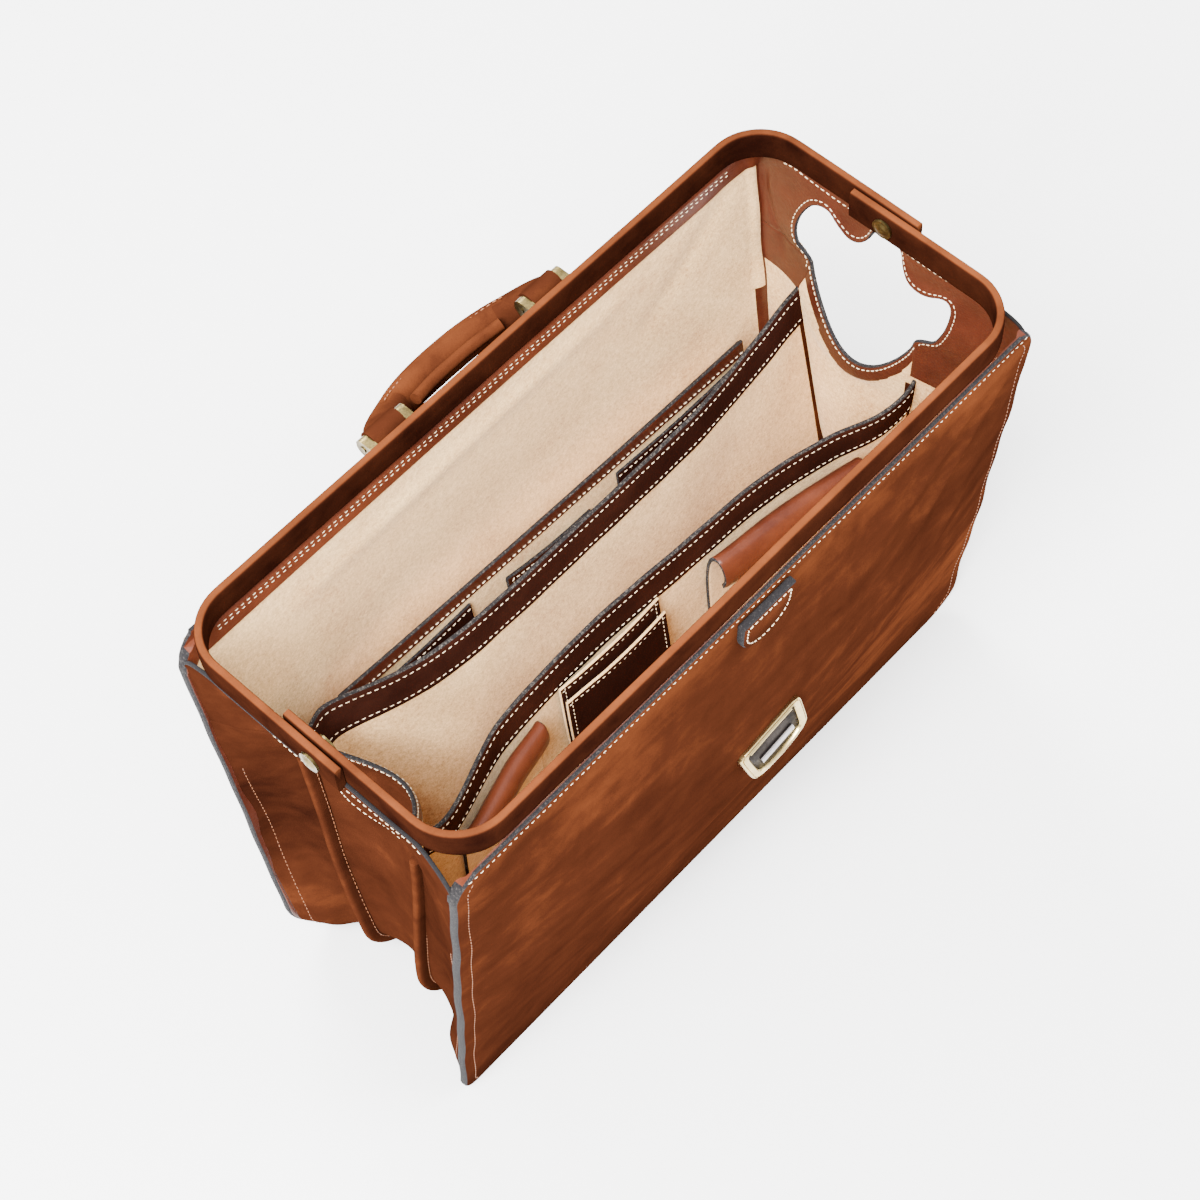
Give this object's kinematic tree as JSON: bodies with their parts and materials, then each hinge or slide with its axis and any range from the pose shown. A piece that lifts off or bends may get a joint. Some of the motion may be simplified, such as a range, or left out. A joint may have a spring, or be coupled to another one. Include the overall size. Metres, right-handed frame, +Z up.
{
  "type": "doctor bag",
  "caption": "Leather doctor bag with a hinged wrapped-steel mouth, folding gussets, inner dividers and pockets, a front lock and a padded top handle.",
  "frame": {"origin": "centre of the base at floor level, midway between the two bottom welts", "axes": "+X along the bag's length to its right end, the front panel with the lock faces -Y, +Z up"},
  "size_m": [0.4254, 0.2425, 0.328],
  "materials": {
    "leather": "glossy waxed chestnut leather",
    "dark_leather": "dark brown leather trim",
    "suede": "soft tan suede lining",
    "brass": "aged brass",
    "bright_brass": "polished pale brass",
    "steel": "spring steel strip",
    "nickel": "nickel plate",
    "dark_plate": "dark satin plate",
    "edge": "raw grey leather edge",
    "thread": "waxed cream stitching"
  },
  "bodies": {
    "base": {"front_welt": "leather", "back_welt": "leather", "front_floor": "leather", "middle_floor": "leather", "back_floor": "leather", "rear_divider_seam": "leather", "front_gusset_left": "leather", "front_gusset_right": "leather", "middle_gusset_left": "leather", "middle_gusset_right": "leather", "back_gusset_left": "leather", "back_gusset_right": "leather", "front_divider": "suede", "front_divider_trim": "dark_leather", "flap_pocket_left": "leather", "flap_pocket_right": "leather", "card_sleeve": "dark_leather"},
    "rear_divider": {"rear_divider": "suede", "rear_divider_trim": "dark_leather"},
    "front_panel": {"front_panel": "leather", "front_lining": "suede", "front_facing": "leather", "front_tab": "leather", "front_wing_left": "leather", "front_wing_right": "leather", "lock_bezel": "bright_brass", "lock_plate": "dark_plate", "lock_posts": "bright_brass"},
    "lock_latch": {"lock_latch": "nickel"},
    "front_frame": {"front_frame_bar": "steel", "front_band": "leather", "frame_rivets_inner": "brass"},
    "back_panel": {"back_panel": "leather", "back_lining": "suede", "back_facing": "leather", "organizer_panel": "suede", "organizer_trim": "leather", "card_pocket_left": "dark_leather", "card_pocket_right": "dark_leather", "blank_patch": "dark_leather", "back_wing_left": "leather", "back_wing_right": "leather"},
    "back_frame": {"back_frame_bar": "steel", "back_band": "leather", "frame_rivets_outer": "brass", "handle_bracket_left": "brass", "handle_bracket_right": "brass", "handle_pin_left": "brass", "handle_pin_right": "brass", "handle_rivets": "brass"},
    "handle": {"handle_grip": "leather", "handle_lip": "leather", "handle_end_left": "leather", "handle_end_right": "leather"}
  },
  "joints": [
    {"name": "bag_fold", "type": "hinge", "parent": "base", "child": "front_panel", "pos_m": [0, -0.066, 0.012], "axis": [-1, 0, 0], "range_deg": [0, 16.21], "deforming": ["front_gusset_left", "front_gusset_right", "middle_gusset_left", "middle_gusset_right"]},
    {"name": "front_frame_fold", "type": "hinge", "parent": "front_panel", "child": "front_frame", "pos_m": [0, -0.094, 0.309], "axis": [-1, 0, 0], "range_deg": [0, 73.89], "deforming": ["front_wing_left", "front_wing_right", "front_facing"]},
    {"name": "back_panel_fold", "type": "hinge", "parent": "base", "child": "back_panel", "pos_m": [0, 0.066, 0.012], "axis": [1, 0, 0], "range_deg": [0, 15.21], "deforming": ["back_gusset_left", "back_gusset_right"]},
    {"name": "back_frame_fold", "type": "hinge", "parent": "back_panel", "child": "back_frame", "pos_m": [0, 0.0882, 0.309], "axis": [1, 0, 0], "range_deg": [0, 74.99], "deforming": ["back_wing_left", "back_wing_right", "back_facing"]},
    {"name": "rear_divider_tip", "type": "hinge", "parent": "base", "child": "rear_divider", "pos_m": [0, 0.02, 0.012], "axis": [1, 0, 0], "range_deg": [0, 9.7]},
    {"name": "handle_swing", "type": "hinge", "parent": "back_frame", "child": "handle", "pos_m": [0, 0.1035, 0.3145], "axis": [1, 0, 0], "range_deg": [-30, 125]},
    {"name": "latch_slide", "type": "slide", "parent": "front_panel", "child": "lock_latch", "axis": [0.9826, 0, 0.1857], "range_m": [0, 0.004], "stiffness_N_per_m": 150}
  ],
  "couplings": [
    {"joint": "front_frame_fold", "follows": "bag_fold", "ratio": 4.5524},
    {"joint": "back_panel_fold", "follows": "bag_fold", "ratio": 0.9323},
    {"joint": "back_frame_fold", "follows": "bag_fold", "ratio": 4.6198},
    {"joint": "rear_divider_tip", "follows": "bag_fold", "ratio": 0.5922}
  ]
}
